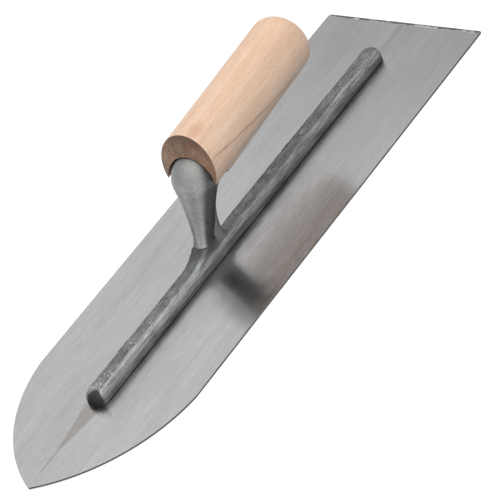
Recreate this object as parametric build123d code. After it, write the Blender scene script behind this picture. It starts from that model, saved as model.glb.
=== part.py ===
from build123d import *
import math
import os

# Pointed flooring trowel. Millimetres. The origin is on the blade's working face, at the middle of its length
# and width. +X runs across the blade, +Y towards the heel, +Z up through the handle.

# blade
blade_length = 406.4
blade_width = 114.3
blade_thickness = 1.0
point_length = 86.3
point_radius = 112.0
heel_corner_radius = 1.5

# rib of the mounting
rib_width = 13.4
rib_height = 8.2
rib_draft = 4.0
rib_edge_radius = 2.6
rib_front_y = -140.4
rib_front_bulge = 6.0
rib_rear_y = 171.3
rib_rear_bulge = 6.4

# rivets
rivet_count = 9
rivet_radius = 2.5
rivet_head_radius = 3.6
rivet_front_margin = 13.7
rivet_rear_margin = 11.0

# handle
handle_front_y = -4.5
handle_front_z = 61.0
handle_rise = 3.7
handle_front_radius = 19.5
handle_rear_radius = 18.8
handle_length = 116.0
handle_dome = 13.4
handle_rake = 16.5
handle_rim_radius = 0.9

# seat of the horn in the handle, measured down from and back along the handle's axis
recess_radius = 17.6
recess_drop = 11.7
recess_depth = 15.2

# tang
tang_radius = 5.0
tang_drop = 5.2
tang_front = -4.0
tang_rear = 88.0
bore_spare = 3.0

# horn, as horizontal rings: height, how far back its centre is, radius. The last ring carries the knuckle,
# half a ball of the same radius.
horn_rings = [
    (15.3, -16.6, 6.8),
    (17.0, -15.9, 6.3),
    (20.0, -14.6, 6.5),
    (24.0, -12.6, 7.4),
    (29.0, -10.8, 8.3),
    (34.0, -9.1, 9.3),
    (39.0, -7.3, 10.5),
    (44.0, -5.3, 11.9),
    (48.0, -3.4, 13.6),
    (51.0, -1.6, 15.1),
]

# root, the rough ramp in front of the horn's foot: how far back and how high along its slope
root_slope = [(-44.0, 7.7), (-36.0, 9.4), (-29.2, 11.4), (-23.2, 15.3)]
root_rear_y = -12.0
root_half_width = 5.7
root_edge_radius = 1.6

# fin behind the horn: how far back and how high along its rear edge
fin_rear_edge = [(3.2, 8.0), (-0.4, 10.2), (-1.9, 14.0), (-1.2, 20.5), (2.2, 29.8), (6.6, 35.8), (10.6, 38.8)]
fin_inside = [(11.2, 42.0), (11.2, 50.0), (0.0, 50.0), (-17.0, 16.0), (-17.0, 8.0)]
fin_half_width_low = 5.2
fin_half_width_high = 3.0
fin_low_z = 8.0
fin_narrow_z = 23.0
fin_top_z = 50.0

blade_top = blade_thickness
half_width = blade_width / 2
half_length = blade_length / 2


def handle_plane():
    """Plane across the handle at its front: local z runs back along the handle and local y runs up."""
    rise = math.radians(handle_rise)
    return Plane(
        origin=(0, handle_front_y, handle_front_z),
        x_dir=(-1, 0, 0),
        z_dir=(0, math.cos(rise), math.sin(rise)),
    )


def rivet_stations():
    first = rib_front_y + rivet_front_margin
    last = rib_rear_y - rivet_rear_margin
    step = (last - first) / (rivet_count - 1)
    return [first + n * step for n in range(rivet_count)]


def make_blade():
    tip = (0, -half_length)
    shoulder_y = -half_length + point_length
    right_shoulder = (half_width, shoulder_y)
    left_shoulder = (-half_width, shoulder_y)
    right_heel = (half_width, half_length)
    left_heel = (-half_width, half_length)
    outline = Wire([
        RadiusArc(tip, right_shoulder, -point_radius).edge(),
        Line(right_shoulder, right_heel).edge(),
        Line(right_heel, left_heel).edge(),
        Line(left_heel, left_shoulder).edge(),
        RadiusArc(left_shoulder, tip, -point_radius).edge(),
    ])
    blade = extrude(Face(outline), blade_thickness, dir=(0, 0, 1))
    upright = blade.edges().filter_by(Axis.Z)
    heel_corners = [edge for edge in upright if edge.center().Y > half_length - 1]
    blade = fillet(heel_corners, heel_corner_radius)
    for y in rivet_stations():
        blade -= rivet_head(y)
    return blade


def rivet_head(y):
    cone = Cone(rivet_head_radius, rivet_radius, blade_thickness, align=(Align.CENTER, Align.CENTER, Align.MIN))
    return Pos(0, y, 0) * cone


def rivet_shank(y):
    shank = Cylinder(rivet_radius, rib_height, align=(Align.CENTER, Align.CENTER, Align.MIN))
    return Pos(0, y, blade_top) * shank


def make_rivet(y):
    return rivet_head(y) + rivet_shank(y)


def make_rib():
    side = rib_width / 2
    front_corner = rib_front_y + rib_front_bulge
    rear_corner = rib_rear_y - rib_rear_bulge
    outline = Wire([
        ThreePointArc((-side, front_corner), (0, rib_front_y), (side, front_corner)).edge(),
        Line((side, front_corner), (side, rear_corner)).edge(),
        ThreePointArc((side, rear_corner), (0, rib_rear_y), (-side, rear_corner)).edge(),
        Line((-side, rear_corner), (-side, front_corner)).edge(),
    ])
    rib = extrude(Pos(0, 0, blade_top) * Face(outline), rib_height, dir=(0, 0, 1), taper=rib_draft)
    return fillet(rib.faces().sort_by(Axis.Z)[-1].edges(), rib_edge_radius)


def side_profile(curved_edge, points):
    """Face in the plane of symmetry, bounded by a curve and the straight lines joining the points after it."""
    curve = Spline(curved_edge).edge()
    corners = [curved_edge[-1]] + points + [curved_edge[0]]
    sides = [Line(here, there).edge() for here, there in zip(corners, corners[1:])]
    return Plane.YZ * Face(Wire([curve] + sides))


def make_root():
    foot_y, foot_z = root_slope[0]
    lip_z = root_slope[-1][1]
    profile = side_profile(root_slope, [(root_rear_y, lip_z), (root_rear_y, foot_z)])
    root = extrude(profile, root_half_width, both=True)
    slope_edges = [edge for edge in root.edges().filter_by(GeomType.BSPLINE) if abs(edge.center().X) > 1]
    return fillet(slope_edges, root_edge_radius)


def make_fin():
    """Slab along the plane of symmetry, thick where it stands on the rib and thinner above."""
    slab = extrude(side_profile(fin_rear_edge, fin_inside), rib_width / 2, both=True)
    width = Plane.XZ * Face(Wire.make_polygon([
        (-fin_half_width_low, fin_low_z),
        (fin_half_width_low, fin_low_z),
        (fin_half_width_high, fin_narrow_z),
        (fin_half_width_high, fin_top_z),
        (-fin_half_width_high, fin_top_z),
        (-fin_half_width_high, fin_narrow_z),
    ]))
    return slab & extrude(width, half_width, both=True)


def make_horn():
    """Rising horn with its knuckle, cut flat where it bears on the floor of the handle's recess."""
    rings = [Pos(0, y, z) * Circle(radius).face() for z, y, radius in horn_rings]
    horn = Solid.make_loft([ring.outer_wire() for ring in rings])
    top_z, top_y, top_radius = horn_rings[-1]
    half_ball = Sphere(top_radius, arc_size1=0, arc_size2=90, align=(Align.CENTER, Align.CENTER, Align.MIN))
    horn += Pos(0, top_y, top_z) * half_ball
    room = 4 * recess_radius
    behind_seat = Box(room, room, room, align=(Align.CENTER, Align.CENTER, Align.MIN))
    return horn - handle_plane() * Pos(0, -recess_drop, recess_depth) * behind_seat


def make_tang():
    rod = Cylinder(tang_radius, tang_rear - tang_front, align=(Align.CENTER, Align.CENTER, Align.MIN))
    return handle_plane() * Pos(0, -tang_drop, tang_front) * rod


def make_mounting():
    mounting = make_rib() + make_root()
    mounting += make_fin()
    mounting += make_horn()
    mounting -= make_tang()
    for y in rivet_stations():
        mounting -= rivet_shank(y)
    return mounting


def dome_curve(straight):
    """Quarter of an ellipse, from the handle's side round to the middle of its rear end."""
    points = []
    for n in range(5):
        turn = math.radians(90 * n / 4)
        points.append((handle_rear_radius * math.cos(turn), straight + handle_dome * math.sin(turn)))
    return Spline(points, tangents=((0, 1), (-1, 0))).edge()


def make_handle():
    straight = handle_length - handle_dome
    spare = handle_front_radius
    taper = (handle_rear_radius - handle_front_radius) / straight
    start_radius = handle_front_radius - taper * spare
    profile = Wire([
        Line((0, -spare), (start_radius, -spare)).edge(),
        Line((start_radius, -spare), (handle_rear_radius, straight)).edge(),
        dome_curve(straight),
        Line((0, handle_length), (0, -spare)).edge(),
    ])
    body = revolve(Plane.XZ * Face(profile), Axis.Z, 360)
    rake = math.radians(handle_rake)
    front_face = Plane(origin=(0, 0, 0), z_dir=(0, -math.sin(rake), math.cos(rake)))
    body = split(body, bisect_by=front_face, keep=Keep.TOP)
    rim = body.faces().sort_by(Axis.Z)[0].edges()
    body = fillet(rim, handle_rim_radius)
    recess = Cylinder(recess_radius, 3 * recess_depth, align=(Align.CENTER, Align.CENTER, Align.MAX))
    body -= Pos(0, -recess_drop, recess_depth) * recess
    bore = Cylinder(tang_radius, tang_rear + bore_spare, align=(Align.CENTER, Align.CENTER, Align.MIN))
    body -= Pos(0, -tang_drop, 0) * bore
    return handle_plane() * body


def save(shape, node):
    export_step(shape, "parts/" + node + ".step")
    solids = shape.solids()
    volume = sum(solid.volume for solid in solids) / 1000
    box = shape.bounding_box()
    print(node, "solids", len(solids), "cm3", round(volume, 2), "valid", shape.is_valid)
    print("   from", [round(v, 2) for v in box.min], "to", [round(v, 2) for v in box.max])


os.makedirs("parts", exist_ok=True)
save(make_blade(), "blade")
save(make_mounting(), "mounting")
save(make_tang(), "tang")
save(make_handle(), "handle")
for number, y in enumerate(rivet_stations(), start=1):
    save(make_rivet(y), "rivet_" + str(number))
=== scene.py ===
import bpy
import bmesh
import math
import numpy as np
from mathutils import Matrix, Vector, noise


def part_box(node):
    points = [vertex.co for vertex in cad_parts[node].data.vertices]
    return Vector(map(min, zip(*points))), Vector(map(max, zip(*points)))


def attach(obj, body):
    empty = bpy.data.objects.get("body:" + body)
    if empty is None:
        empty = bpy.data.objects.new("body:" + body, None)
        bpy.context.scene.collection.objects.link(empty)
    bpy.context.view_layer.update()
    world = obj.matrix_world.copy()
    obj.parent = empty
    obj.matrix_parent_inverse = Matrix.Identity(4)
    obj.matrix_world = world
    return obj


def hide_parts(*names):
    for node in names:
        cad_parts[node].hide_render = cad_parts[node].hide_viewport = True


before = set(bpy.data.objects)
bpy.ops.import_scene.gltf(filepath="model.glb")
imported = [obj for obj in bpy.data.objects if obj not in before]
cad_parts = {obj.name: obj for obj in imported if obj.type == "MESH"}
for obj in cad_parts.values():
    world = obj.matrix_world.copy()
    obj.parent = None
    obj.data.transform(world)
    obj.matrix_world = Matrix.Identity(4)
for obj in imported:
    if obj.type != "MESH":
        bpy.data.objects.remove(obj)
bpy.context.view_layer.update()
print("frame loaded:", len(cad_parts), "nodes")

mm = 0.001

bladeLow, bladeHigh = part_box("blade")
mountLow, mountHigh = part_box("mounting")
bladeTop = bladeHigh.z


class Wire:
    # one socket of a node tree, so that + - * / ** on it add Math nodes
    def __init__(self, tree, socket=None):
        self.tree = tree
        self.socket = socket

    def node(self, kind, settings=None, inputs=None, output=0):
        made = self.tree.nodes.new(kind)
        for name, value in (settings or {}).items():
            setattr(made, name, value)
        for place, value in (inputs or {}).items():
            if isinstance(value, Wire):
                self.tree.links.new(value.socket, made.inputs[place])
            else:
                made.inputs[place].default_value = value
        if isinstance(output, tuple):
            return [Wire(self.tree, made.outputs[name]) for name in output]
        return Wire(self.tree, made.outputs[output])

    def math(self, operation, *values):
        return self.node("ShaderNodeMath", {"operation": operation}, dict(enumerate(values)))

    def __add__(self, other):
        return self.math("ADD", self, other)

    def __radd__(self, other):
        return self.math("ADD", other, self)

    def __sub__(self, other):
        return self.math("SUBTRACT", self, other)

    def __rsub__(self, other):
        return self.math("SUBTRACT", other, self)

    def __mul__(self, other):
        return self.math("MULTIPLY", self, other)

    def __rmul__(self, other):
        return self.math("MULTIPLY", other, self)

    def __truediv__(self, other):
        return self.math("DIVIDE", self, other)

    def __pow__(self, other):
        return self.math("POWER", self, other)

    def most(self, other):
        return self.math("MAXIMUM", self, other)

    def size(self):
        return self.math("ABSOLUTE", self)

    def step(self, start, end):                      # 0 before start, 1 after end, smooth between
        return self.node(
            "ShaderNodeMapRange",
            {"interpolation_type": "SMOOTHSTEP"},
            {"Value": self, "From Min": start, "From Max": end, "To Min": 0.0, "To Max": 1.0},
        )

    def band(self, start, end, soft):                # 1 between start and end
        return self.step(start - soft, start + soft) * (1 - self.step(end - soft, end + soft))

    def wave(self, length):                          # sine with this wavelength, from 0 to 1
        return self.math("SINE", self * (2 * math.pi / length)) * 0.5 + 0.5

    def mix(self, first, second):                    # self is the factor of two colours
        return self.node(
            "ShaderNodeMix",
            {"data_type": "RGBA"},
            {0: self, 6: asColour(first), 7: asColour(second)},
            output=2,
        )

    def tinted(self, factor):                        # self is a colour, made lighter or darker by a value
        scale = self.node("ShaderNodeCombineColor", {}, {0: factor, 1: factor, 2: factor})
        return self.node(
            "ShaderNodeMix",
            {"data_type": "RGBA", "blend_type": "MULTIPLY"},
            {0: 1.0, 6: self, 7: scale},
            output=2,
        )

    def axes(self):                                  # x, y and z of a vector
        return self.node("ShaderNodeSeparateXYZ", {}, {0: self}, output=("X", "Y", "Z"))

    def grain(self, size, stretch=(1, 1, 1), detail=2.0, rough=0.5, twist=0.0):      # noise on a vector
        scaled = self.node(
            "ShaderNodeMapping", {}, {"Vector": self, "Scale": [1 / (size * s) for s in stretch]}
        )
        return self.node(
            "ShaderNodeTexNoise",
            {},
            {"Vector": scaled, "Scale": 1.0, "Detail": detail, "Roughness": rough, "Distortion": twist},
        )

    def bump(self):                                  # self is a height in metres
        return self.node("ShaderNodeBump", {}, {"Strength": 1.0, "Distance": 1.0, "Height": self})


def asColour(value):
    if isinstance(value, Wire):
        return value
    return (value[0], value[1], value[2], 1.0)


def newMaterial(name):
    material = bpy.data.materials.new(name)
    material.use_nodes = True
    material.node_tree.nodes.clear()
    start = Wire(material.node_tree)
    place = start.node("ShaderNodeTexCoord", output="Object")
    return material, start, place


def finishMaterial(start, colour, rough, metal=0.0, normal=None, fixed=None):
    inputs = {"Base Color": colour, "Roughness": rough, "Metallic": metal}
    if normal is not None:
        inputs["Normal"] = normal
    inputs.update(fixed or {})
    shader = start.node("ShaderNodeBsdfPrincipled", {}, inputs)
    output = start.tree.nodes.new("ShaderNodeOutputMaterial")
    start.tree.links.new(shader.socket, output.inputs["Surface"])


def meshFromRings(name, rings):
    # skin over rings that all have the same number of points
    count = len(rings[0])
    points = [tuple(p) for ring in rings for p in ring]
    faces = []
    for level in range(len(rings) - 1):
        for n in range(count):
            after = (n + 1) % count
            low = level * count
            high = low + count
            faces.append((low + n, low + after, high + after, high + n))
    faces.append(tuple(reversed(range(count))))
    faces.append(tuple(range(len(points) - count, len(points))))
    mesh = bpy.data.meshes.new(name)
    mesh.from_pydata(points, [], faces)
    mesh.validate()
    return newPiece(name, mesh)


def newPiece(name, mesh):
    piece = bpy.data.objects.new(name, mesh)
    bpy.context.scene.collection.objects.link(piece)
    tidyNormals(piece)
    return piece


def tidyNormals(piece):
    shape = bmesh.new()
    shape.from_mesh(piece.data)
    bmesh.ops.recalc_face_normals(shape, faces=shape.faces)
    shape.to_mesh(piece.data)
    shape.free()


def applyModifiers(piece):
    graph = bpy.context.evaluated_depsgraph_get()
    final = bpy.data.meshes.new_from_object(piece.evaluated_get(graph))
    piece.modifiers.clear()
    piece.data = final


def cutAway(piece, cutters):
    for cutter in cutters:
        boolean = piece.modifiers.new("cut", "BOOLEAN")
        boolean.operation = "DIFFERENCE"
        boolean.solver = "EXACT"
        boolean.object = cutter
    applyModifiers(piece)
    for cutter in cutters:
        bpy.data.objects.remove(cutter)


def shadeSmooth(piece, sharpAngle=None):
    for face in piece.data.polygons:
        face.use_smooth = True
    if sharpAngle is not None:
        piece.data.set_sharp_from_angle(angle=math.radians(sharpAngle))


def roundRing(centre, radius, count, across=(1, 0, 0), along=(0, 1, 0)):
    u = Vector(across)
    v = Vector(along)
    turns = [2 * math.pi * n / count for n in range(count)]
    return [Vector(centre) + (u * math.cos(t) + v * math.sin(t)) * float(radius) for t in turns]


def smoothThrough(points, perSpan):
    # a Catmull-Rom curve through points of any number of coordinates
    rows = np.array(points, float)
    ends = np.vstack([2 * rows[0] - rows[1], rows, 2 * rows[-1] - rows[-2]])
    out = []
    for n in range(1, len(ends) - 2):
        a, b, c, d = ends[n - 1:n + 3]
        for step in range(perSpan):
            t = step / perSpan
            out.append(0.5 * (2 * b + (c - a) * t + (2 * a - 5 * b + 4 * c - d) * t ** 2
                              + (3 * b - a - 3 * c + d) * t ** 3))
    out.append(rows[-1])
    return np.array(out)


# +Y runs towards the heel, and +X is called the right
blade = {
    "pointLength": 86.3 * mm,
    "pointRadius": 112.0 * mm,
    "heelCorner": 1.5 * mm,
    "edgeRound": 0.14 * mm,
    "heelStrip": 1.2 * mm,          # sheared strip along the heel
    "heelDrop": 0.16 * mm,
    "rivetHead": 3.64 * mm,
    "rivetShank": 2.52 * mm,
    "sharpAngle": 50,
}


def arcBetween(start, end, radius, count):
    # points along an arc from start to end, its centre on the left of the way, without the last one
    a = Vector(start)
    b = Vector(end)
    chord = b - a
    middle = (a + b) / 2
    left = Vector((-chord.y, chord.x)).normalized()
    centre = middle + left * math.sqrt(radius ** 2 - (chord.length / 2) ** 2)
    first = math.atan2(a.y - centre.y, a.x - centre.x)
    last = math.atan2(b.y - centre.y, b.x - centre.x)
    turn = (last - first + math.pi) % (2 * math.pi) - math.pi
    return [centre + radius * Vector((math.cos(first + turn * n / count), math.sin(first + turn * n / count)))
            for n in range(count)]


def bladeOutline():
    side = bladeHigh.x
    heel = bladeHigh.y
    tip = Vector((0, bladeLow.y))
    shoulder = Vector((side, bladeLow.y + blade["pointLength"]))
    corner = blade["heelCorner"]
    right = arcBetween(tip, shoulder, blade["pointRadius"], 48)
    right.append(shoulder)
    middle = Vector((side - corner, heel - corner))
    for n in range(7):
        turn = math.radians(15 * n)
        right.append(middle + corner * Vector((math.cos(turn), math.sin(turn))))
    left = [Vector((-p.x, p.y)) for p in reversed(right[1:])]
    return right + left


def insetOutline(outline, distance):
    count = len(outline)
    moved = []
    for n, point in enumerate(outline):
        before = (point - outline[n - 1]).normalized()
        after = (outline[(n + 1) % count] - point).normalized()
        inward = Vector((-before.y - after.y, before.x + after.x))
        inward = inward / (1 + before.dot(after))
        moved.append(point + inward * distance)
    return moved


def rivetPlaces():
    names = sorted(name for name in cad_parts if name.startswith("rivet_"))
    places = []
    for name in names:
        low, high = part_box(name)
        places.append((low.y + high.y) / 2)
    return places


def makeBlade():
    outline = bladeOutline()
    edge = blade["edgeRound"]
    top = bladeHigh.z
    rounded = []
    for n in range(4):
        turn = math.radians(30 * n)
        rounded.append((edge * (1 - math.sin(turn)), edge * (1 - math.cos(turn))))
    levels = rounded + [(inset, top - height) for inset, height in reversed(rounded)]
    sheet = meshFromRings("blade_sheet", [
        [(p.x, p.y, height) for p in insetOutline(outline, inset)] for inset, height in levels
    ])
    shape = bmesh.new()
    shape.from_mesh(sheet.data)
    for back in (1.0, 0.55):
        bmesh.ops.bisect_plane(
            shape,
            geom=shape.verts[:] + shape.edges[:] + shape.faces[:],
            plane_co=(0, bladeHigh.y - back * blade["heelStrip"], 0),
            plane_no=(0, 1, 0),
        )
    for vert in shape.verts:
        depth = (vert.co.y - (bladeHigh.y - blade["heelStrip"])) / blade["heelStrip"]
        if depth > 0.01 and vert.co.z > top / 2:
            vert.co.z -= blade["heelDrop"] * depth
    shape.to_mesh(sheet.data)
    shape.free()
    cutters = []
    for y in rivetPlaces():
        head = blade["rivetHead"]
        shank = blade["rivetShank"]
        spare = 0.5 * mm
        slope = (head - shank) / top
        cutters.append(meshFromRings("cutter", [
            roundRing((0, y, -spare), head + slope * spare, 48),
            roundRing((0, y, top + spare), shank - slope * spare, 48),
        ]))
    cutAway(sheet, cutters)
    shadeSmooth(sheet, blade["sharpAngle"])
    for face in sheet.data.polygons:
        if abs(face.normal.z) > 0.99999:
            face.use_smooth = False                # the two broad faces are truly flat
    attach(sheet, "root")
    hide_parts("blade")
    return sheet


casting = {
    # rib
    "ribTop": 9.2 * mm,
    "ribDraft": 4.0,
    "ribEdge": 3.7 * mm,
    "ribFrontBulge": 6.0 * mm,
    "ribRearBulge": 6.4 * mm,
    "ribHalfWidth": 6.7 * mm,
    "noseSlope": 9.0 * mm,
    "noseDrop": 0.30,
    # root: how far back and how high along its slope, in millimetres
    "rootSlope": [
        (-46.0, 7.5), (-40.0, 8.9), (-34.0, 9.9), (-29.2, 11.4), (-25.6, 13.3), (-23.4, 15.3), (-12.0, 15.3),
    ],
    "rootHalfWidth": 5.5 * mm,
    "rootChamfer": 1.3 * mm,
    "rootFoot": 4 * mm,
    # fin: how far back or how wide, and how high, in millimetres
    "finEdge": [(3.6, 8.0), (0.6, 9.6), (-1.2, 12.0), (-1.9, 15.0), (-1.2, 20.5), (0.3, 25.0), (2.2, 29.8),
                (4.2, 33.2), (6.6, 35.8), (9.8, 38.4), (11.0, 40.2), (11.2, 43.0), (11.2, 50.0)],
    "finInside": [(-18.0, 8.0), (-18.0, 15.0), (-14.0, 25.0), (-9.0, 33.0), (-3.0, 42.0), (0.0, 50.0)],
    "finWidth": [(5.6, 7.5), (5.0, 11.0), (4.0, 16.0), (3.1, 23.0), (2.9, 36.0), (3.3, 42.0), (4.0, 50.0)],
    "finFoot": 7.0,
    "finTop": 50.0,
    "finLevels": 72,
    "voxel": 0.42 * mm,
    "smoothing": 5,
    "smoothFoot": 0.4 * mm,         # the skin is left smooth this close to the blade
}


def ribOutline(inset):
    half = casting["ribHalfWidth"] - inset
    points = []
    wide = casting["ribHalfWidth"]
    front = (-1, mountLow.y, casting["ribFrontBulge"])
    rear = (1, mountHigh.y, casting["ribRearBulge"])
    for sign, end, bulge in (front, rear):
        radius = (bulge ** 2 + wide ** 2) / (2 * bulge)
        centre = end - sign * radius
        reach = math.asin(min(1.0, half / (radius - inset)))
        for n in range(33):
            turn = reach * (1 - n / 16)
            across = sign * -(radius - inset) * math.sin(turn)
            points.append((across, centre + sign * (radius - inset) * math.cos(turn)))
    return points


def makeRibCore():
    edge = casting["ribEdge"]
    top = casting["ribTop"]
    draft = math.tan(math.radians(casting["ribDraft"]))
    rings = [[(x, y, bladeTop) for x, y in ribOutline(0)]]
    for n in range(9):
        turn = math.radians(90 * n / 8)
        height = top - edge + edge * math.sin(turn)
        inset = draft * (top - edge - bladeTop) + edge * (1 - math.cos(turn))
        rings.append([(x, y, height) for x, y in ribOutline(inset)])
    return meshFromRings("rib_core", rings)


def makeRootCore():
    half = casting["rootHalfWidth"]
    chamfer = casting["rootChamfer"]
    foot = casting["rootFoot"]
    rings = []
    for y, z in casting["rootSlope"]:
        y *= mm
        z *= mm
        rings.append([
            (half, y, foot), (half, y, z - chamfer), (half - 0.5 * chamfer, y, z - 0.3 * chamfer),
            (half - 1.4 * chamfer, y, z), (1.4 * chamfer - half, y, z),
            (0.5 * chamfer - half, y, z - 0.3 * chamfer), (-half, y, z - chamfer), (-half, y, foot),
        ])
    return meshFromRings("root_core", rings)


def along(points, height):
    # the value at a height, between the (value, height) points
    heights = [p[1] for p in points]
    values = [p[0] for p in points]
    return float(np.interp(height, heights, values))


def makeFinCore():
    rings = []
    edge = smoothThrough(casting["finEdge"], 4)
    for height in np.linspace(casting["finFoot"], casting["finTop"], casting["finLevels"]):
        rear = along([tuple(p) for p in edge], height) * mm
        inside = along(casting["finInside"], height) * mm
        half = along(casting["finWidth"], height) * mm
        ring = [(half, inside, height * mm)]
        for n in range(13):
            turn = math.radians(180 * n / 12)
            ring.append((half * math.cos(turn), rear - half + half * math.sin(turn), height * mm))
        ring.append((-half, inside, height * mm))
        rings.append(ring)
    return meshFromRings("fin_core", rings)


# relief of the rough skin, all in millimetres
castSkin = {
    "lumps": 0.26,
    "grit": 0.15,
    "fine": 0.09,
    "fettled": 0.12,                # share of the relief left on the sides
    "ridgeAt": 3.9,                 # flash line, this far to the left of the middle
    "ridgeWidth": 0.42,
    "ridgeHeight": 0.34,
    "grooveAt": 2.6,                # shallow groove beside it
    "grooveWidth": 0.7,
    "grooveDepth": 0.2,
    "ringRadius": 2.75,             # faint ring round each rivet's end
    "ringWidth": 0.28,
    "ringDepth": 0.13,
    "fileHeight": 0.16,             # ridges left by the file on the nose
}


def rampUp(value, start, length):
    # 0 up to start, then rising to 1 over the length
    return min(1.0, max(0.0, (value - start) / length))


def castRoughness(y, z):
    # how rough the skin is here: the top of the rib and the root are rough, the sides and the fin are fettled
    onTop = rampUp(z, 7.2, 1.6) if z < 9.6 else 1.0
    nearFin = rampUp(y, -22.0, 4.0) * (1 - rampUp(y, 6.0, 5.0))
    finSkin = nearFin * rampUp(z, 8.4, 1.0)
    rear = 0.75 if y > 6 else 1.0
    return max(castSkin["fettled"], onTop * (1 - 0.92 * finSkin) * rear)


def castRelief(point, rivets):
    x, y, z = point.x / mm, point.y / mm, point.z / mm
    rough = castRoughness(y, z)
    lumps = noise.noise(Vector((x * 0.42, y * 0.16, z * 0.42))) * castSkin["lumps"]
    grit = noise.noise(Vector((x * 1.1 + 9, y * 0.8, z * 1.1))) * castSkin["grit"]
    fine = noise.noise(Vector((x * 2.3, y * 1.9 + 5, z * 2.3))) * castSkin["fine"]
    relief = rough * (lumps + grit + fine)
    if 8.3 < z < 10.5:
        # flash line along the left of the top, broken here and there
        sway = 0.3 * math.sin(y * 0.11)
        ridge = math.exp(-((x + castSkin["ridgeAt"] + sway) / castSkin["ridgeWidth"]) ** 2)
        broken = max(0.0, min(1.0, 0.65 + 1.4 * noise.noise(Vector((y * 0.13, 3.1, 0)))))
        groove = math.exp(-((x + castSkin["grooveAt"]) / castSkin["grooveWidth"]) ** 2)
        if y < -24 or y > 8:
            relief += castSkin["ridgeHeight"] * ridge * broken - castSkin["grooveDepth"] * groove
        for place in rivets:
            away = math.hypot(x, y - place / mm)
            ring = math.exp(-((away - castSkin["ringRadius"]) / castSkin["ringWidth"]) ** 2)
            relief -= castSkin["ringDepth"] * ring
    nose = rampUp(-y, -mountLow.y / mm - 4.6, 1.5)
    if nose > 0 and x < -0.5:
        relief += nose * castSkin["fileHeight"] * math.sin((x + 0.35 * y) * 5.2)
    return relief * mm


def makeCasting():
    core = makeRibCore()
    for part in (makeRootCore(), makeFinCore()):
        union = core.modifiers.new("join", "BOOLEAN")
        union.operation = "UNION"
        union.solver = "EXACT"
        union.object = part
        applyModifiers(core)
        bpy.data.objects.remove(part)
    remesh = core.modifiers.new("remesh", "REMESH")
    remesh.mode = "VOXEL"
    remesh.voxel_size = casting["voxel"]
    smooth = core.modifiers.new("smooth", "SMOOTH")
    smooth.factor = 0.5
    smooth.iterations = casting["smoothing"]
    applyModifiers(core)
    core.name = "mounting_casting"
    rivets = rivetPlaces()
    mesh = core.data
    normals = [v.normal.copy() for v in mesh.vertices]
    for vert, normal in zip(mesh.vertices, normals):
        if vert.co.z > bladeTop + casting["smoothFoot"]:
            vert.co += normal * castRelief(vert.co, rivets)
        # the front end slopes down to the blade
        slope = max(0.0, mountLow.y + casting["noseSlope"] - vert.co.y) / casting["noseSlope"]
        vert.co.z = bladeTop + (vert.co.z - bladeTop) * (1 - casting["noseDrop"] * slope ** 2)
        vert.co.z = max(vert.co.z, bladeTop)
    mesh.update()
    shadeSmooth(core)
    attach(core, "root")
    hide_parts("mounting")
    print("casting:", len(mesh.vertices), "points")
    return core


horn = {
    # height, how far back its centre is and radius, in millimetres
    "rings": [
        (15.6, -16.6, 6.85), (16.3, -16.25, 6.5), (17.2, -15.8, 6.25), (20.0, -14.6, 6.5), (24.0, -12.6, 7.4),
        (29.0, -10.8, 8.3), (34.0, -9.1, 9.3), (39.0, -7.3, 10.5), (44.0, -5.3, 11.9), (48.0, -3.4, 13.6),
        (51.0, -1.6, 15.1),
    ],
    "lipRound": 0.28 * mm,
    "lipHollow": 1.9 * mm,
    "sides": 128,
    "seatDepth": 15.0 * mm,         # flat back of the knuckle, this far into the handle
    "sharpAngle": 48,
}

handle = {
    "frontY": -4.5 * mm,
    "frontZ": 61.0 * mm,
    "rise": 3.7,
    "frontRadius": 19.5 * mm,
    "rearRadius": 18.8 * mm,
    "length": 116.0 * mm,
    "dome": 13.4 * mm,
    "rake": 16.5,
    "rimRound": 0.9 * mm,
    "recessRadius": 17.6 * mm,
    "recessDrop": 11.7 * mm,
    "recessDepth": 15.2 * mm,
    # share of the recess's depth and of its radius, rounded at the inner end
    "recessRings": [
        (-2.0, 1.0), (0.42, 1.0), (0.6, 0.985), (0.75, 0.94), (0.88, 0.86), (0.96, 0.77), (1.0, 0.7),
    ],
    "tangRadius": 5.0 * mm,
    "tangDrop": 5.2 * mm,
    "boreFront": 5.0 * mm,
    "boreRear": 91.0 * mm,
    "boreSpare": 0.05 * mm,
    "sides": 192,
    "sharpAngle": 38,
}


def handlePlace():
    # local y runs back along the handle and local z runs up
    turn = Matrix.Rotation(math.radians(handle["rise"]), 4, "X")
    return Matrix.Translation((0, handle["frontY"], handle["frontZ"])) @ turn


def makeHorn():
    count = horn["sides"]
    curve = smoothThrough(horn["rings"], 6) * mm
    z, y, radius = curve[0]
    lip = horn["lipRound"]
    rings = [
        roundRing((0, y, z + 0.5 * mm), radius - horn["lipHollow"] - 0.8 * mm, count),
        roundRing((0, y, z - 0.1 * mm), radius - horn["lipHollow"], count),
        roundRing((0, y, z - lip), radius - 2.2 * lip, count),
        roundRing((0, y, z - lip), radius - lip, count),
        roundRing((0, y, z - 0.7 * lip), radius - 0.3 * lip, count),
    ]
    for z, y, radius in curve:
        rings.append(roundRing((0, y, z), radius, count))
    for n in range(1, 24):
        turn = math.radians(90 * n / 24)
        rings.append(roundRing((0, y, z + radius * math.sin(turn)), radius * math.cos(turn), count))
    piece = meshFromRings("mounting_horn", rings)
    seat = handlePlace() @ Vector((0, horn["seatDepth"], 0))
    backwards = handlePlace().to_3x3() @ Vector((0, 1, 0))
    shape = bmesh.new()
    shape.from_mesh(piece.data)
    cut = bmesh.ops.bisect_plane(
        shape,
        geom=shape.verts[:] + shape.edges[:] + shape.faces[:],
        plane_co=seat,
        plane_no=backwards,
        clear_outer=True,
    )
    bmesh.ops.holes_fill(shape, edges=[e for e in cut["geom_cut"] if isinstance(e, bmesh.types.BMEdge)])
    shape.to_mesh(piece.data)
    shape.free()
    tidyNormals(piece)
    shadeSmooth(piece, horn["sharpAngle"])
    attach(piece, "root")
    return piece


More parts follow.
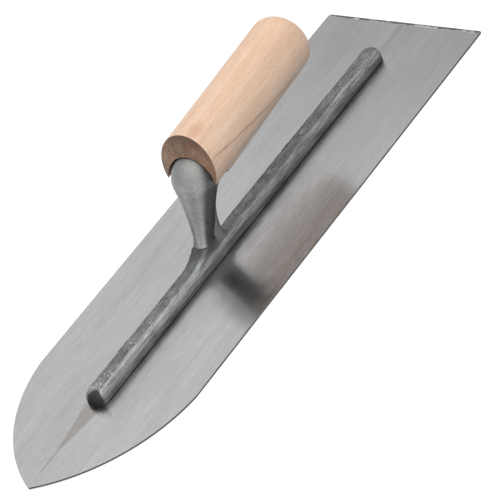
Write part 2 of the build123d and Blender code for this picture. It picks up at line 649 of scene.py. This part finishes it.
def handleProfile():
    # radius and how far back, from before the front cut to the middle of the dome
    straight = handle["length"] - handle["dome"]
    taper = (handle["rearRadius"] - handle["frontRadius"]) / straight
    rows = []
    spare = 0.5 * handle["frontRadius"]
    for back in np.linspace(-spare, straight, 80):
        rows.append((handle["frontRadius"] + taper * back, back))
    for n in range(1, 40):
        turn = math.radians(90 * n / 40)
        rows.append((handle["rearRadius"] * math.cos(turn), straight + handle["dome"] * math.sin(turn)))
    rows.append((handle["rearRadius"] * 0.012, handle["length"]))
    return rows


def makeHandle(sideMaterial, endMaterial):
    across = (1, 0, 0)
    up = (0, 0, 1)
    rings = [roundRing((0, back, 0), radius, handle["sides"], across, up) for radius, back in handleProfile()]
    piece = meshFromRings("handle_wood", rings)
    rake = math.radians(handle["rake"])
    shape = bmesh.new()
    shape.from_mesh(piece.data)
    cut = bmesh.ops.bisect_plane(
        shape,
        geom=shape.verts[:] + shape.edges[:] + shape.faces[:],
        plane_co=(0, 0, 0),
        plane_no=(0, -math.cos(rake), math.sin(rake)),
        clear_outer=True,
    )
    rim = [e for e in cut["geom_cut"] if isinstance(e, bmesh.types.BMEdge)]
    bmesh.ops.holes_fill(shape, edges=rim)
    bmesh.ops.bevel(
        shape,
        geom=rim,
        offset=handle["rimRound"],
        segments=5,
        profile=0.5,
        affect="EDGES",
        clamp_overlap=True,
    )
    shape.to_mesh(piece.data)
    shape.free()
    tidyNormals(piece)
    drop = -handle["recessDrop"]
    recess = meshFromRings("cutter", [
        roundRing((0, handle["recessDepth"] * deep, drop), handle["recessRadius"] * wide, 160, across, up)
        for deep, wide in handle["recessRings"]
    ])
    boreRadius = handle["tangRadius"] + handle["boreSpare"]
    bore = meshFromRings("cutter", [
        roundRing((0, back, -handle["tangDrop"]), boreRadius, 48, across, up)
        for back in (handle["boreFront"], handle["boreRear"])
    ])
    cutAway(piece, [recess, bore])
    mesh = piece.data
    mesh.materials.clear()
    mesh.materials.append(sideMaterial)
    mesh.materials.append(endMaterial)
    for face in mesh.polygons:
        # turned wood outside and behind the recess, end grain on the front face and inside the recess
        centre = face.center
        away = math.hypot(centre.x, centre.z)
        facing = abs(face.normal.y)
        outer = away > handle["rearRadius"] - 0.55 * mm or centre.y > handle["recessDepth"] + mm
        face.material_index = 0 if outer and facing < 0.97 or centre.y > 2 * handle["recessDepth"] else 1
    mesh.transform(handlePlace())
    shadeSmooth(piece, handle["sharpAngle"])
    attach(piece, "root")
    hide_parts("handle")


def brushedSteel():
    look = {
        "light": (0.62, 0.612, 0.617),
        "dark": (0.535, 0.53, 0.532),
        "wedge": (0.37, 0.345, 0.32),
        "band": (0.43, 0.43, 0.42),
        "heelwardShade": (0.40, 0.40, 0.395),
        "heelDark": (0.20, 0.205, 0.195),
        "heelLight": (0.72, 0.72, 0.71),
        "shadedCutEdge": (0.035, 0.035, 0.035),
        "rough": 0.14,
        "scratchDepth": 62e-6,
        "wedgeWidth": 6.4 * mm,                      # half its width where it meets the rib
        "wedgeTaper": 0.17,
        "heelStrip": 1.9 * mm,
    }
    material, start, place = newMaterial("brushed_blade_steel")
    x, y, z = place.axes()
    wide = place.grain(1.1 * mm, (1, 120, 1), 3)
    fine = place.grain(0.16 * mm, (1, 110, 1), 2)
    streak = place.grain(5 * mm, (1, 14, 1), 3, 0.6)
    patches = place.grain(38 * mm, (0.7, 1.8, 1), 2)
    colour = (patches * 0.6 + streak * 0.4).step(0.3, 0.7).mix(look["dark"], look["light"])
    colour = colour.tinted(0.93 + 0.09 * wide + 0.05 * fine)
    # painted reflection of the rib's front end: a darker wedge ahead of the rib, narrowing to a line at the
    # point
    ahead = mountLow.y - y
    width = (look["wedgeWidth"] - ahead * look["wedgeTaper"]).most(0.6 * mm)
    inRibReflection = 1 - ((x + 0.5 * mm).size() / width).step(0.75, 1.1)
    upper = z.step(0.4 * mm, 0.6 * mm)
    inRibReflection = inRibReflection * y.band(bladeLow.y + 12 * mm, mountLow.y + 4 * mm, 4 * mm) * upper
    colour = (inRibReflection * 0.6).mix(colour, look["wedge"])
    # faint band behind the rib
    behind = y.step(mountHigh.y - 4 * mm, mountHigh.y + 4 * mm) * x.band(-1.6 * mm, 1.8 * mm, 1.2 * mm)
    colour = (behind * 0.6 * upper).mix(colour, look["band"])
    # painted shade: greyer towards the heel in patches, for the dimmer reflection there
    colour = (y.step(60 * mm, 190 * mm) * patches.step(0.3, 0.7) * 0.6).mix(colour, look["heelwardShade"])
    # sheared strip along the heel
    heelStart = bladeHigh.y - look["heelStrip"]
    heel = y.step(heelStart - 0.5 * mm, heelStart)
    broken = place.grain(2.2 * mm, (3.2, 1, 1), 3).step(0.47, 0.58)
    colour = heel.mix(colour, broken.mix(look["heelDark"], look["heelLight"]))
    # painted shade: the blade's thin side face is painted near black, as it lies in shade
    shadedCutEdge = z.band(0.10 * mm, 0.90 * mm, 0.04 * mm)
    colour = shadedCutEdge.mix(colour, look["shadedCutEdge"])
    rough = look["rough"] + 0.05 * patches + 0.04 * wide + heel * 0.3 + shadedCutEdge * 0.4 + inRibReflection * 0.10
    height = fine * look["scratchDepth"] + wide * 4e-6 + patches * 20e-6 + heel * broken * 60e-6
    finishMaterial(start, colour, rough, 1.0, height.bump())
    return material


def roughCast():
    look = {
        "skin": (0.13, 0.135, 0.14),
        "lump": (0.33, 0.335, 0.34),
        "worn": (0.72, 0.73, 0.73),
        "leftHighlightTone": (0.85, 0.86, 0.865),
        # near black, for the painted shade lines on the top and the painted shadow in the corner against the
        # blade
        "groove": (0.045, 0.045, 0.045),
        "side": (0.33, 0.34, 0.35),
        "sideHighlight": (0.72, 0.73, 0.74),
        "fin": (0.30, 0.305, 0.31),
        "facet": (0.50, 0.52, 0.53),
        "nose": (0.05, 0.052, 0.055),
        "noseRidge": (0.42, 0.42, 0.41),
        "rightLineAt": 2.6 * mm,
        "leftLineAt": -4.1 * mm,
        "noseLength": 8.8 * mm,
    }
    material, start, place = newMaterial("rough_cast_alloy")
    x, y, z = place.axes()
    sway = (place.grain(26 * mm, (1, 1, 1), 2) - 0.5) * 3.0 * mm
    over = x + sway                                  # the bands along the rib wander a little
    top = z.step(6.9 * mm, 8.4 * mm)
    front = 1 - y.step(-100 * mm, -60 * mm)
    fin = y.band(-21 * mm, 8 * mm, 2.5 * mm) * z.step(8.8 * mm, 9.8 * mm)
    foot = y.band(-48 * mm, -13 * mm, 2.5 * mm) * z.step(8.6 * mm, 9.6 * mm)
    lumps = place.grain(2.4 * mm, (1, 2.6, 1), 4, 0.6)
    grit = place.grain(0.8 * mm, (1, 1.5, 1), 3, 0.6)
    speck = place.grain(0.6 * mm, (1, 1.8, 1), 4, 0.7)
    drawn = place.grain(1.0 * mm, (1, 16, 1), 3)
    blotch = place.grain(9 * mm, (1, 2.2, 1), 2)
    skin = lumps * 0.35 + grit * 0.30 + drawn * 0.35
    colour = skin.step(0.38, 0.62).mix(look["skin"], look["lump"])
    # right shoulder and side, with drawn streaks; painted light and shade, lighter towards the shoulder and
    # darker down towards the blade
    shoulder = over.step(1.8 * mm, 5.6 * mm)
    pale = (drawn * 0.5 + blotch * 0.3 + grit * 0.2 + front * 0.08 + z * 14.0).step(0.46, 0.74)
    lower = 0.62 + 0.38 * z.step(1.5 * mm, 6.5 * mm)
    sideTone = pale.mix(look["side"], look["sideHighlight"]).tinted((0.30 + 1.4 * skin) * lower)
    colour = (shoulder * 0.88).mix(colour, sideTone)
    # painted shade: dark lines along the top, in a shallow groove on the left and at the right shoulder's
    # edge
    rightShadeLine = 1 - ((over - look["rightLineAt"]).size() / (0.5 * mm)).step(0.4, 1.0)
    leftShadeLine = 1 - ((over - look["leftLineAt"]).size() / (0.6 * mm)).step(0.4, 1.0)
    lines = (rightShadeLine * 0.5 + leftShadeLine * 0.9) * top * blotch.step(0.38, 0.56)
    colour = lines.mix(colour, look["groove"])
    # painted highlight along the left edge of the top, streaked by the drawn grain
    leftRimHighlight = (1 - over.step(-5.0 * mm, -4.4 * mm)) * top
    colour = (leftRimHighlight * (0.35 + 0.6 * drawn)).mix(colour, look["leftHighlightTone"])
    # proud spots are rubbed bright, most of all near the front end
    patchy = (blotch - 0.5) * 0.30
    bright = (speck + 0.03 * front + patchy).step(0.56, 0.63) * top * (1 - fin) * (1 - shoulder * 0.6)
    colour = (bright * (0.45 + 0.40 * front)).mix(colour, look["worn"])
    colour = (fin * 0.85).mix(colour, look["fin"]).tinted(0.90 + 0.2 * grit)
    # flat linished facet on the right shoulder ahead of the horn
    facet = y.band(-48 * mm, -26 * mm, 3 * mm) * x.band(2.6 * mm, 5.4 * mm, 0.9 * mm)
    facet = facet * z.step(8.4 * mm, 9.2 * mm)
    colour = (facet * 0.75).mix(colour, look["facet"])
    # rough skin in the corner under the horn's lip
    under = foot * z.step(10.0 * mm, 12.5 * mm)
    colour = (under * 0.5 + foot * 0.25).mix(colour, look["skin"])
    # nose: painted shade, a smooth near-black oval on the front end, which faces away from the light; ribs
    # left by the file beside it
    climb = z + (y - mountLow.y) * 0.9               # how far up the sloping front end
    oval = ((x - 1.7 * mm) ** 2 * 2.7 + (climb - 7.6 * mm) ** 2) ** 0.5
    noseRear = mountLow.y + look["noseLength"]
    atNose = 1 - y.step(noseRear - 1.4 * mm, noseRear)
    nose = (1 - oval.step(6.6 * mm, 8.0 * mm)) * atNose
    ridges = (x + 0.35 * y).wave(1.1 * mm) * (1 - x.step(-2.9 * mm, -2.2 * mm)) * atNose
    colour = (ridges ** 2 * 0.8).mix(colour, look["noseRidge"])
    colour = (nose * 0.93).mix(colour, look["nose"])
    # painted shadow: a dark line in the corner against the blade
    corner = 1 - z.step(bladeTop + 0.15 * mm, bladeTop + 0.6 * mm)
    colour = (corner * 0.6).mix(colour, look["groove"])
    calm = shoulder.most(1 - top).most(fin)
    gloss = 0.48 + 0.12 * grit - 0.16 * bright - 0.1 * facet - 0.06 * calm + 0.1 * under
    height = (1 - calm * 0.55) * (lumps * 230e-6 + grit * 130e-6) + calm * drawn * 30e-6
    finishMaterial(start, colour, gloss, 0.9, height.bump())
    return material


def linishedAlloy():
    look = {
        "blue": (0.265, 0.285, 0.293),
        "pale": (0.53, 0.535, 0.515),
        "foot": (0.70, 0.70, 0.67),
        "paintedFlankShade": (0.085, 0.087, 0.087),
        "knuckle": (0.56, 0.565, 0.55),
        "knuckleDark": (0.46, 0.465, 0.455),
        "lip": (0.33, 0.335, 0.33),
        "lean": 0.42,                                # how far the horn leans back as it rises
        "axisY": -23.0 * mm,                         # where its middle line would meet the working face
    }
    material, start, place = newMaterial("linished_horn_alloy")
    x, y, z = place.axes()
    around = start.math("ARCTAN2", x, look["axisY"] + z * look["lean"] - y)
    lines = place.grain(0.35 * mm, (1, 1, 34), 3)
    cloud = place.grain(7 * mm, (1, 1, 2), 3)
    speck = place.grain(0.55 * mm, (1, 1, 3.2), 3, 0.6)
    # painted reflection and shade, by the angle round the horn's middle line: a pale band on the front where
    # it mirrors the bright blade, bluish grey to the left, and a dark right flank where it mirrors shade and
    # dark parts
    pale = around.band(-0.05, 0.75, 0.22)
    colour = pale.mix(look["blue"], look["pale"])
    # painted reflection: lighter low on the front, where it mirrors the blade
    colour = ((1 - z.step(20 * mm, 38 * mm)) * pale * 0.6).mix(colour, look["foot"])
    paintedFlankShade = (around - z.step(34 * mm, 50 * mm) * 0.05).step(0.66, 1.02)
    colour = (paintedFlankShade * 0.92).mix(colour, look["paintedFlankShade"])
    colour = colour.tinted(0.80 + 0.40 * speck.step(0.36, 0.64))
    # painted highlight: the knuckle lighter at the top, where it faces up, and less so on the dark flank
    upper = z.step(46 * mm, 60 * mm)
    knuckle = speck.step(0.35, 0.65).mix(look["knuckleDark"], look["knuckle"])
    colour = (upper * 0.7 * (1 - 0.8 * paintedFlankShade)).mix(colour, knuckle)
    lip = 1 - z.step(15.9 * mm, 16.8 * mm)
    colour = (lip * 0.6 * (1 - paintedFlankShade)).mix(colour, look["lip"])
    colour = colour.tinted(0.86 + 0.28 * lines)
    rough = 0.38 + 0.10 * cloud + 0.08 * lines + 0.14 * upper
    height = lines * 22e-6 + speck * 26e-6 + cloud * 40e-6
    finishMaterial(start, colour, rough, 0.92, height.bump())
    return material


def handleCoordinates(start, place):
    return start.node(
        "ShaderNodeMapping",
        {"vector_type": "TEXTURE"},
        {
            "Vector": place,
            "Location": (0, handle["frontY"], handle["frontZ"]),
            "Rotation": (math.radians(handle["rise"]), 0, 0),
        },
    )


def turnedWood():
    look = {
        "pale": (0.66, 0.485, 0.365),
        "warm": (0.57, 0.385, 0.27),
        "fleck": (0.40, 0.235, 0.15),
        "crack": (0.20, 0.10, 0.06),
        "patch": (0.42, 0.21, 0.135),
        "lowSideDark": (0.30, 0.265, 0.24),
        "crackTurn": 1.22,                           # where round the handle it starts, and how it winds back
        "crackWind": 10.0,
        "crackRear": 92 * mm,
    }
    material, start, place = newMaterial("turned_pale_hardwood")
    local = handleCoordinates(start, place)
    x, y, z = local.axes()
    fibre = local.grain(0.34 * mm, (1, 26, 1), 3, 0.6)
    broad = local.grain(2.8 * mm, (1, 14, 1), 3, 0.5, 0.4)
    cloud = local.grain(22 * mm, (1, 2.4, 1), 2)
    fleck = local.grain(0.5 * mm, (1, 6, 1), 2, 0.5)
    fromPith = ((x + 31 * mm) ** 2 + (z + 44 * mm) ** 2) ** 0.5
    ring = (fromPith + cloud * 5 * mm + broad * 0.9 * mm).wave(3.4 * mm)
    colour = (broad * 0.6 + cloud * 0.4).step(0.32, 0.68).mix(look["pale"], look["warm"])
    colour = (ring ** 3 * 0.35).mix(colour, look["warm"])
    colour = (fleck.step(0.56, 0.70) * 0.40).mix(colour, look["fleck"])
    colour = colour.tinted(0.83 + 0.34 * fibre)
    # darker and greyer low on one side
    lowSideDark = (1 - z.step(-13 * mm, 5 * mm)) * x.step(2 * mm, 11 * mm)
    colour = (lowSideDark * 0.6).mix(colour, look["lowSideDark"])
    # long drying crack winding along the lower side
    angle = start.math("ARCTAN2", x, z)
    wobble = local.grain(9 * mm, (1, 1, 1), 3) - 0.5
    line = angle - (look["crackTurn"] + (y - 2 * mm) * look["crackWind"]) - wobble * 0.12
    breadth = 0.007 + 0.018 * local.grain(11 * mm, (1, 1, 1), 2)
    along = y.band(3 * mm, look["crackRear"], 6 * mm)
    crack = (1 - (line.size() / breadth).step(0.35, 1.0)) * along
    halo = (1 - (line.size() / (breadth * 7)).step(0.1, 1.0)) * along
    colour = (halo * 0.30).mix(colour, look["fleck"])
    colour = (crack * 0.55).mix(colour, look["crack"])
    # reddish patch near the front
    patch = 1 - (((x - 5 * mm) ** 2 + (y - 12 * mm) ** 2 * 0.35) ** 0.5).step(1.5 * mm, 6 * mm)
    colour = (patch * 0.45 * (0.4 + broad)).mix(colour, look["patch"])
    rough = 0.46 + 0.12 * fibre + 0.05 * cloud
    height = fibre * 14e-6 - fleck.step(0.56, 0.70) * 14e-6 - crack * 110e-6 + broad * 22e-6
    finishMaterial(start, colour, rough, 0.0, height.bump(), {"Specular IOR Level": 0.5})
    return material


def endGrain():
    look = {
        "pale": (0.40, 0.27, 0.195),
        "dark": (0.18, 0.105, 0.07),
        "rim": (0.52, 0.38, 0.285),
        "red": (0.30, 0.15, 0.095),
        "deep": (0.05, 0.03, 0.02),
    }
    material, start, place = newMaterial("sawn_end_grain")
    local = handleCoordinates(start, place)
    x, y, z = local.axes()
    away = (x ** 2 + z ** 2) ** 0.5
    speck = local.grain(0.8 * mm, (1, 6, 1), 3, 0.6)
    cloud = local.grain(6 * mm, (1, 1, 1), 3)
    angle = start.math("ARCTAN2", x, z)
    polar = start.node("ShaderNodeCombineXYZ", {}, {0: angle * 16 * mm, 1: away * 0.12, 2: 0.0})
    rays = polar.grain(0.9 * mm, (1, 1, 1), 3, 0.6).step(0.48, 0.68)
    turning = (away + cloud * 0.3 * mm).wave(1.0 * mm)
    colour = (speck * 0.6 + cloud * 0.4).step(0.34, 0.66).mix(look["dark"], look["pale"])
    colour = (x.step(-4 * mm, 10 * mm) * 0.5).mix(colour, look["red"])
    # lighter near the rim; the extra on the left side is painted light, where the light falls on the rounded
    # rim
    nearRim = away.step(15.0 * mm, 16.6 * mm)
    litLeftSide = 1 - x.step(-2 * mm, 8 * mm)
    colour = (nearRim * 0.45 * (0.4 + 0.6 * litLeftSide)).mix(colour, look["rim"])
    colour = (rays * (1 - nearRim) * 0.45).mix(colour, look["rim"])
    colour = colour.tinted(1 - turning * nearRim * 0.35)
    # painted shade: darker deeper inside the recess
    inside = y.step(1.2 * mm, 7 * mm)
    colour = (inside * 0.7).mix(colour, look["deep"])
    height = speck * 60e-6 + turning * nearRim * 45e-6 + rays * 45e-6
    finishMaterial(start, colour, 0.72 + 0.15 * speck, 0.0, height.bump(), {"Specular IOR Level": 0.2})
    return material


def plainSteel():
    material, start, place = newMaterial("set_rivet_steel")
    grit = place.grain(0.6 * mm, (1, 1, 1), 3, 0.6)
    scuff = place.grain(1.4 * mm, (1, 30, 1), 3)
    colour = grit.step(0.35, 0.65).mix((0.26, 0.265, 0.27), (0.40, 0.405, 0.41)).tinted(0.85 + 0.3 * scuff)
    finishMaterial(start, colour, 0.36 + 0.16 * grit, 0.95, (grit * 18e-6 + scuff * 6e-6).bump())
    return material


def paleFloor():
    material, start, place = newMaterial("pale_floor")
    cloud = place.grain(0.4, (1, 1, 1), 2)
    colour = cloud.mix((0.69, 0.69, 0.69), (0.71, 0.71, 0.71))
    fixed = {
        "Specular IOR Level": 0.1,
        "Emission Color": (1.0, 1.0, 1.0, 1.0),
        "Emission Strength": studio["floorGlow"],
    }
    finishMaterial(start, colour, 0.85, 0.0, None, fixed)
    return material


def dress(piece, material):
    piece.data.materials.clear()
    piece.data.materials.append(material)


studio = {
    "floorSize": 8.0,
    "floorDrop": 0.3 * mm,
    "floorGlow": 0.25,
    "roomTone": 0.41,
    # soft light panels: direction, strength, tightness
    "panels": [
        ((0.0, 0.0, 1.0), 1.0, 6.0),
        ((-0.522, 0.48, 0.713), 0.66, 80.0),
        ((-0.88, 0.35, 0.25), 0.27, 8.0),
        ((0.58, -0.56, 0.59), 0.35, 5.0),
    ],
    # black flags: direction, how much they take away, tightness
    "flags": [
        ((0.50, 0.80, 0.35), 0.6, 5.0),
        ((0.0, -1.0, 0.1), 0.35, 6.0),
    ],
    "softboxPlace": (0.06, 0.06, 0.80),
    "softboxSize": 0.40,
    "softboxPower": 4.4,
}

camera = {
    "azimuth": 48.592,
    "elevation": 36.186,
    "roll": -23.889,
    "distance": 1.72236,
    "aim": (18.0 * mm, -3.4 * mm, 0.0),
    "lens": 216.23,
    "sensor": 36.0,
}


def makeFloor():
    half = studio["floorSize"] / 2
    mesh = bpy.data.meshes.new("floor")
    corners = [(-half, -half, 0), (half, -half, 0), (half, half, 0), (-half, half, 0)]
    mesh.from_pydata(corners, [], [(0, 1, 2, 3)])
    floor = bpy.data.objects.new("floor", mesh)
    floor.location.z = -studio["floorDrop"]
    bpy.context.scene.collection.objects.link(floor)
    dress(floor, paleFloor())


def makeLight():
    world = bpy.data.worlds.new("studio")
    bpy.context.scene.world = world
    world.use_nodes = True
    tree = world.node_tree
    tree.nodes.clear()
    start = Wire(tree)
    way = start.node("ShaderNodeTexCoord", output="Generated")

    def towards(direction):
        unit = Vector(direction).normalized()
        facing = start.node("ShaderNodeVectorMath", {"operation": "DOT_PRODUCT"}, {0: way, 1: unit}, "Value")
        return facing.most(0.0)

    glow = studio["roomTone"]
    for direction, strength, tightness in studio["panels"]:
        glow = glow + towards(direction) ** tightness * strength
    for direction, strength, tightness in studio["flags"]:
        glow = glow * (1 - towards(direction) ** tightness * strength)
    background = start.node("ShaderNodeBackground", {}, {"Color": (1.0, 1.0, 1.0, 1.0), "Strength": glow})
    output = tree.nodes.new("ShaderNodeOutputWorld")
    tree.links.new(background.socket, output.inputs["Surface"])

    data = bpy.data.lights.new("softbox", "AREA")
    data.shape = "DISK"
    data.size = studio["softboxSize"]
    data.energy = studio["softboxPower"]
    softbox = bpy.data.objects.new("softbox", data)
    softbox.location = studio["softboxPlace"]
    softbox.rotation_euler = (-softbox.location).to_track_quat("-Z", "Y").to_euler()
    softbox.visible_glossy = False                 # the panels alone show in the metal
    bpy.context.scene.collection.objects.link(softbox)


def makeCamera():
    data = bpy.data.cameras.new("camera")
    data.lens = camera["lens"]
    data.sensor_width = camera["sensor"]
    data.clip_start = 0.05
    data.clip_end = 20
    piece = bpy.data.objects.new("camera", data)
    bpy.context.scene.collection.objects.link(piece)
    azimuth = math.radians(camera["azimuth"])
    elevation = math.radians(camera["elevation"])
    back = Vector((
        math.sin(azimuth) * math.cos(elevation), -math.cos(azimuth) * math.cos(elevation), math.sin(elevation)
    ))
    turn = (-back).to_track_quat("-Z", "Y").to_matrix().to_4x4()
    roll = Matrix.Rotation(math.radians(camera["roll"]), 4, "Z")
    piece.matrix_world = Matrix.Translation(Vector(camera["aim"]) + back * camera["distance"]) @ turn @ roll
    bpy.context.scene.camera = piece


makeCamera()
makeFloor()
makeLight()
bpy.context.scene.view_settings.view_transform = "Standard"
print("room, light and camera ready")

dress(makeBlade(), brushedSteel())
print("blade made")
dress(makeCasting(), roughCast())
print("casting made")
dress(makeHorn(), linishedAlloy())
print("horn made")
makeHandle(turnedWood(), endGrain())
print("handle made")

steel = plainSteel()
for name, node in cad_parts.items():
    if name == "tang" or name.startswith("rivet_"):
        dress(node, steel)
